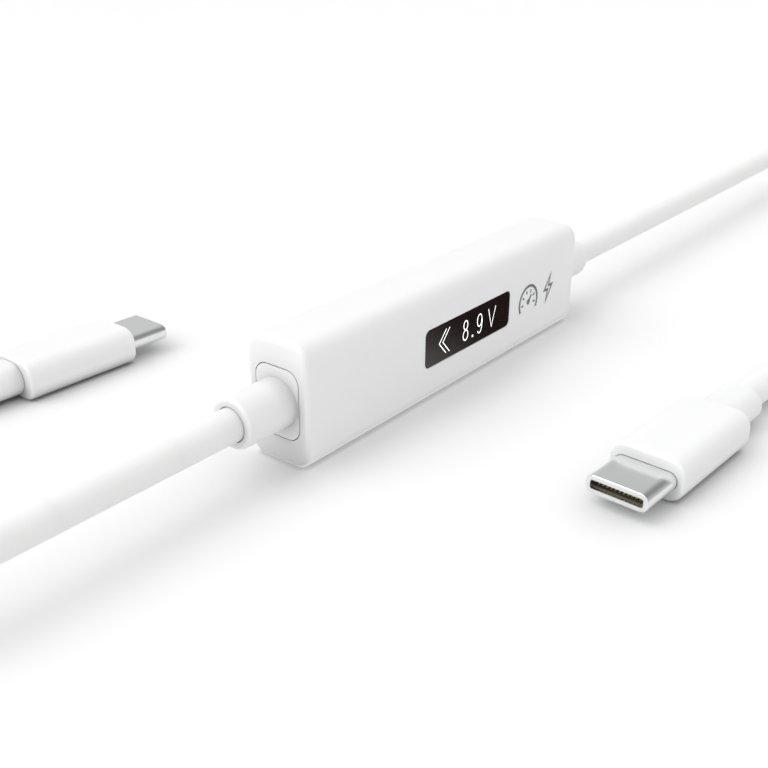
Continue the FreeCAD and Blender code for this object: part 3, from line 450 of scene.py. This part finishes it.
def arc_through(first, middle, last):
    """Points on the circle through three points, from the first to the last."""
    a, b = first - last, middle - last
    normal = a.cross(b)
    offset = (a.length_squared * b - b.length_squared * a).cross(normal)
    centre = last + offset / (2 * normal.length_squared)
    start, radius = (first - centre).normalized(), (first - centre).length
    turn_axis = (first - centre).cross(middle - centre).normalized()
    side = turn_axis.cross(start)
    end = last - centre
    angle = math.atan2(end.dot(side), end.dot(start)) % (2 * math.pi)
    points = []
    for i in range(ARC_STEPS + 1):
        t = angle * i / ARC_STEPS
        points.append(centre + radius * (start * math.cos(t) + side * math.sin(t)))
    return points


def half_thickness(node):
    """Half the height of a tube or rod that lies along X."""
    low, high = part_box(node)
    return (high.z - low.z) / 2


def cable_route(side):
    """The centre line as a list of points, and the distance along it of each joint."""
    names = [n for n in joints if n.startswith(side + "_")]
    pivots = [Vector(joints[n]["pos_m"]) for n in names]
    low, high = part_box("cable_entry_" + side)
    inner_x = low.x if pivots[0].x > 0 else high.x
    inner = Vector((inner_x, pivots[0].y, pivots[0].z))
    mouth = mounts["plug_mouth_" + side]
    ahead = Vector(mouth["axis"])
    jacket = frame["nodes"]["plug_cable_jacket_" + side].data.vertices
    depth = max((v.co - pivots[-1]).dot(ahead) for v in jacket)
    points = [inner, *pivots[:3]]
    points += arc_through(*pivots[2:5])[1:]
    points += [*pivots[5:], pivots[-1] + ahead * depth]
    marks = []
    travelled = 0.0
    for i, point in enumerate(points):
        if i:
            travelled += (point - points[i - 1]).length
        near = [k for k, p in enumerate(pivots) if (p - point).length < 1e-6]
        if near and len(marks) == near[0]:
            marks.append(travelled)
    return points, marks, travelled, names


def resample(points, stations):
    """Points at the given distances along a line of points."""
    lengths = [0.0]
    for a, b in zip(points, points[1:]):
        lengths.append(lengths[-1] + (b - a).length)
    out, i = [], 0
    for s in stations:
        while i < len(lengths) - 2 and lengths[i + 1] < s:
            i += 1
        share = (s - lengths[i]) / (lengths[i + 1] - lengths[i])
        out.append(points[i].lerp(points[i + 1], share))
    return out


def rings_along(points, radius):
    """One ring of corners per point, turned as little as possible from ring to ring."""
    ahead = []
    for i in range(len(points)):
        a, b = points[max(0, i - 1)], points[min(len(points) - 1, i + 1)]
        ahead.append((b - a).normalized())
    up = Vector((0, 0, 1))
    rings = []
    for point, direction in zip(points, ahead):
        side = direction.cross(up).normalized()
        up = side.cross(direction)
        ring = []
        for k in range(CABLE_SIDES):
            t = 2 * math.pi * k / CABLE_SIDES
            ring.append(point + (side * math.cos(t) + up * math.sin(t)) * radius)
        rings.append(ring)
    return rings


def bridge(bm, first, second):
    faces = []
    for k in range(len(first)):
        after = (k + 1) % len(first)
        faces.append(bm.faces.new((first[k], first[after], second[after], second[k])))
    return faces


def sheath(name, outer_rings, inner_rings, bored):
    """A closed length of cable. It is solid, or bored at one end: 'start', 'end' or None."""
    bm = bmesh.new()
    outer = [[bm.verts.new(co) for co in ring] for ring in outer_rings]
    smooth = []
    for first, second in zip(outer, outer[1:]):
        smooth += bridge(bm, first, second)
    solid_ends = {"start": (-1,), "end": (0,), None: (0, -1)}[bored]
    for end in solid_ends:
        bm.faces.new(outer[end])
    if bored:
        inner = [[bm.verts.new(co) for co in ring] for ring in inner_rings]
        open_end = 0 if bored == "start" else -1
        for first, second in zip(inner, inner[1:]):
            smooth += bridge(bm, first, second)
        bridge(bm, outer[open_end], inner[open_end])
        bm.faces.new(inner[-1 if bored == "start" else 0])
    for face in smooth:
        face.smooth = True
    for edge in bm.edges:
        kinds = {face.smooth for face in edge.link_faces}
        edge.smooth = kinds == {True}
    return new_piece(name, bm, jacket_white)


def evenly(start, end, step):
    count = max(2, round((end - start) / step))
    return [start + (end - start) * i / count for i in range(count + 1)]


def make_cables():
    """One piece of sheath for each joint, from the middle of one span to the middle of the next.

    For each joint it works out how far a bend would spread: the reach on both sides, or next to the case and to a
    plug the anchor on that side and twice the reach the other way, always a spare length inside its piece. Nothing
    uses these lengths, so the pieces do not bend. Neighbouring pieces meet, and each hides the CAD parts it stands
    for.
    """
    reach, anchor, spare = 8 * MM, 1.0 * MM, 1.1 * MM
    clearance, bore_past_joint, nearby = 0.06 * MM, 1.75 * MM, 0.5 * MM
    for side in SIDES:
        points, marks, total, names = cable_route(side)
        radius = half_thickness("cable_entry_" + side)
        bore = half_thickness(f"cable_{side}_1_core") + clearance
        cuts = [0.0] + [(a + b) / 2 for a, b in zip(marks, marks[1:])] + [total]
        for i, name in enumerate(names):
            joint = joints[name]
            stations = evenly(cuts[i], cuts[i + 1], CABLE_STEP)
            outer = rings_along(resample(points, stations), radius)
            bored, inner = None, None
            if i == 0:
                bored = "start"
                stations = evenly(0.0, marks[0] + bore_past_joint, BORE_STEP)
                inner = rings_along(resample(points, stations), bore)
            elif i == len(names) - 1:
                bored = "end"
                stations = evenly(marks[-1] - bore_past_joint, total, BORE_STEP)
                inner = rings_along(resample(points, stations), bore)
            piece = sheath(f"cable_{side}_sheath_{i + 1}", outer, inner, bored)
            before = reach if i else anchor
            after = reach if i < len(names) - 1 else anchor
            if i == 0:
                after = 2 * reach
            if i == len(names) - 1:
                before = 2 * reach
            centre = Vector(joint["pos_m"])
            behind, beyond = resample(points, [marks[i] - nearby, marks[i] + nearby])
            ahead = (beyond - behind).normalized()
            first, last = resample(points, [cuts[i], cuts[i + 1]])
            if i:
                before = min(before, (centre - first).dot(ahead) - spare)
            if i < len(names) - 1:
                after = min(after, (last - centre).dot(ahead) - spare)
            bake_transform(piece)
            stands_for = []
            if i == 0:
                stands_for.append("cable_entry_" + side)
            if i < len(names) - 1:
                stands_for += [f"cable_{side}_{i + 1}_jacket", f"cable_{side}_{i + 1}_core"]
            else:
                stands_for.append("plug_cable_jacket_" + side)
            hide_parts(*stands_for)


# ---------------------------------------------------------------- flat marks on the front face


class Stencil:
    """Flat strokes in a picture plane, raised a hair's breadth from the face they lie on."""

    underside, top = 0.002 * MM, 0.014 * MM
    sharpest_corner = 0.45

    def __init__(self, across, height):
        """The origin of the strokes is a point on the front face of the case."""
        self.bm = bmesh.new()
        low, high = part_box("case_shell")
        self.origin = Vector((across, low.y, height))

    def at(self, x, z, lift):
        return self.origin + Vector((x * MM, -lift, z * MM))

    def stroke(self, points, width, closed=False):
        """A ribbon of even width along points, in millimetres from the origin."""
        flat = [Vector((x, z)) for x, z in points]
        count = len(flat)
        left, right = [], []
        for i, point in enumerate(flat):
            before = flat[i - 1] if i or closed else None
            after = flat[(i + 1) % count] if i < count - 1 or closed else None
            steps = []
            if before is not None:
                steps.append((point - before).normalized())
            if after is not None:
                steps.append((after - point).normalized())
            normals = [Vector((-s.y, s.x)) for s in steps]
            mean = sum(normals, Vector((0, 0))).normalized()
            reach = width / 2 / max(self.sharpest_corner, mean.dot(normals[0]))
            left.append(point + mean * reach)
            right.append(point - mean * reach)
        rings = []
        for edge in (left, right):
            for lift in (self.underside, self.top):
                rings.append([self.bm.verts.new(self.at(p.x, p.y, lift)) for p in edge])
        left_low, left_high, right_low, right_high = rings
        last = count if closed else count - 1
        for i in range(last):
            j = (i + 1) % count
            loop = (left_low, left_high, right_high, right_low)
            for a, b in zip(loop, loop[1:] + loop[:1]):
                self.bm.faces.new((a[i], a[j], b[j], b[i]))
        if not closed:
            for i in (0, count - 1):
                self.bm.faces.new((left_low[i], left_high[i], right_high[i], right_low[i]))

    def piece(self, name, material, slot, body):
        piece = new_piece(name, self.bm, material)
        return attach(piece, body)


def oval(centre_x, centre_z, half_width, half_height, start=0, end=360, steps=28):
    points = []
    for i in range(steps + 1):
        t = math.radians(start + (end - start) * i / steps)
        points.append((centre_x + half_width * math.cos(t), centre_z + half_height * math.sin(t)))
    return points


def display_reading():
    """A direction mark and a voltage, as the lit display shows them."""
    low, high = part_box("display_window")
    middle = (low.z + high.z) / 2
    glow = lit_pixels("lit_pixels")
    pen, thin = 0.155, 0.135
    tall, wide = 1.5, 0.6

    def stencil(across_mm):
        return Stencil(low.x + across_mm * MM, middle)

    chevrons = stencil(3.25)
    for shift in (0.0, 0.85):
        chevrons.stroke([(shift + 1.65, 1.82), (shift, 0.0), (shift + 1.65, -1.82)], thin)
    chevrons.piece("reading_direction", glow, "panel_glass", "meter")

    eight = stencil(9.75)
    eight.stroke(oval(0, tall * 0.54, wide * 0.84, tall * 0.46)[:-1], pen, closed=True)
    eight.stroke(oval(0, -tall * 0.48, wide, tall * 0.52)[:-1], pen, closed=True)
    eight.piece("reading_digit_1", glow, "panel_glass", "meter")

    point = stencil(11.6)
    point.stroke([(-0.17, 0.08 - tall), (0.17, 0.08 - tall)], 0.34)
    point.piece("reading_point", glow, "panel_glass", "meter")

    nine = stencil(13.35)
    nine.stroke(oval(0, tall * 0.32, wide, tall * 0.63)[:-1], pen, closed=True)
    nine.stroke([(wide, tall * 0.32), *oval(0, -tall * 0.24, wide, tall * 0.76, 0, -140, 18)], pen)
    nine.piece("reading_digit_2", glow, "panel_glass", "meter")

    volts = stencil(16.6)
    volts.stroke([(-0.95, tall), (0.0, -tall), (0.95, tall)], thin)
    volts.piece("reading_unit", glow, "panel_glass", "meter")


def face_marks():
    """Two plain pictograms beside the window: a dial with ticks and a needle, and a bolt for power."""
    low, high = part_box("display_window")
    middle = (low.z + high.z) / 2
    ink = printed_ink("grey_ink", (0.14, 0.14, 0.145))
    radius, hub, rim_pen, tick_pen, needle_pen = 2.6, 0.3, 0.44, 0.3, 0.38
    dial = Stencil(high.x + 5.6 * MM, middle - 0.7 * MM)
    dial.stroke(oval(0, 0, radius, radius, 210, -30), rim_pen)
    for degrees in range(-10, 191, 40):
        t = math.radians(degrees)
        ends = [(radius * share * math.cos(t), radius * share * math.sin(t)) for share in (0.78, 0.56)]
        dial.stroke(ends, tick_pen)
    t = math.radians(50)
    tip = (radius * 0.5 * math.cos(t), radius * 0.5 * math.sin(t))
    dial.stroke([(0, 0), tip], needle_pen)
    dial.stroke(oval(0, 0, hub, hub)[:-1], tick_pen, closed=True)
    dial.piece("gauge_mark", ink, "white_case", "meter")

    bolt = Stencil(high.x + 11.6 * MM, middle)
    outline = [(0.55, 2.2), (-1.15, -0.25), (-0.1, -0.25), (-0.55, -2.2), (1.15, 0.35), (0.1, 0.35)]
    bolt.stroke(outline, 0.38, closed=True)
    bolt.piece("bolt_mark", ink, "white_case", "meter")


# ---------------------------------------------------------------- stage


def make_floor():
    """A wide table under the object."""
    half = 3.0
    bm = bmesh.new()
    corners = [(-half, -half), (half, -half), (half, half), (-half, half)]
    bm.faces.new([bm.verts.new((x, y, 0)) for x, y in corners])
    floor = new_piece("table_top", bm, table_top("table_top"))


# each soft panel: bearing clockwise from the back of the case and height, both in degrees, then its strength
# as a light, its strength in reflections, and how narrow it is
PANELS = (
    (288, 32, 1.05, 1.0, 3.0),
    (105, 30, 0.95, 0.0, 3.0),
    # a dark flag that only reflections see, so that the metal has an edge
    (120, 40, 0.0, -0.42, 6.0),
)
# the rest of the room, as a light and in reflections, and the darkest that a reflection gets
FILL = (0.49, 0.64)
DARKEST = 0.2
OVERHEAD_TOWARDS = (-0.42, 0.5, 0.95)


def make_light():
    """A pale room with large soft panels off both ends of the case, a wide sun above and a white backdrop."""
    n = Nodes("studio", bpy.data.worlds, "ShaderNodeOutputWorld")
    lit, mirrored = [FILL[0]], [FILL[1]]
    for bearing, height, strength, reflected, spread in PANELS:
        turn, rise = math.radians(bearing), math.radians(height)
        towards = (math.cos(rise) * math.sin(turn), math.cos(rise) * math.cos(turn), math.sin(rise))
        facing = {0: n.coords.outputs["Generated"], 1: towards}
        share = n.add("ShaderNodeVectorMath", facing, operation="DOT_PRODUCT").outputs["Value"]
        soft = n.math("POWER", n.math("MAXIMUM", share, 0.0), spread)
        lit.append(n.math("MULTIPLY", soft, strength))
        mirrored.append(n.math("MULTIPLY", soft, reflected))
    glossy = n.add("ShaderNodeLightPath").outputs["Is Glossy Ray"]
    direct = n.math("MULTIPLY", n.math("SUBTRACT", 1.0, glossy), n.sum(*lit))
    bounced = n.math("MULTIPLY", glossy, n.math("MAXIMUM", n.sum(*mirrored), DARKEST))
    backdrop = n.add("ShaderNodeLightPath").outputs["Is Camera Ray"]
    strength = n.math("MAXIMUM", n.sum(direct, bounced), backdrop)
    values = {"Color": rgb(1, 1, 1), "Strength": strength}
    bpy.context.scene.world = n.end(n.add("ShaderNodeBackground", values).outputs[0])
    sun = bpy.data.lights.new("overhead_softbox", "SUN")
    sun.energy = 0.84
    sun.angle = math.radians(50)
    lamp = bpy.data.objects.new("overhead_softbox", sun)
    lamp.rotation_euler = Vector(OVERHEAD_TOWARDS).to_track_quat("Z", "Y").to_euler()
    bpy.context.scene.collection.objects.link(lamp)
    bpy.context.scene.view_settings.view_transform = "Standard"


def make_camera():
    """The viewpoint: a little above the table, off the near end of the case."""
    place = Vector((-0.113876, -0.079760, 0.063633))
    yaw, pitch, roll = (math.radians(a) for a in (52.056, 25.039, -0.316))
    ahead = Vector((math.sin(yaw) * math.cos(pitch), math.cos(yaw) * math.cos(pitch), -math.sin(pitch)))
    level = Vector((math.cos(yaw), -math.sin(yaw), 0))
    down = ahead.cross(level)
    right = level * math.cos(roll) + down * math.sin(roll)
    down = down * math.cos(roll) - level * math.sin(roll)
    data = bpy.data.cameras.new("camera")
    data.sensor_width = 36
    data.lens = 48.32
    data.clip_start = 0.005
    data.clip_end = 20
    data.dof.use_dof = True
    data.dof.focus_distance = 0.142
    data.dof.aperture_fstop = 62
    camera = bpy.data.objects.new("camera", data)
    rotation = Matrix((right, -down, -ahead)).transposed().to_4x4()
    camera.matrix_world = Matrix.Translation(place) @ rotation
    bpy.context.scene.collection.objects.link(camera)
    bpy.context.scene.camera = camera


dress_frame()
make_cables()
display_reading()
face_marks()
make_floor()
make_light()
make_camera()
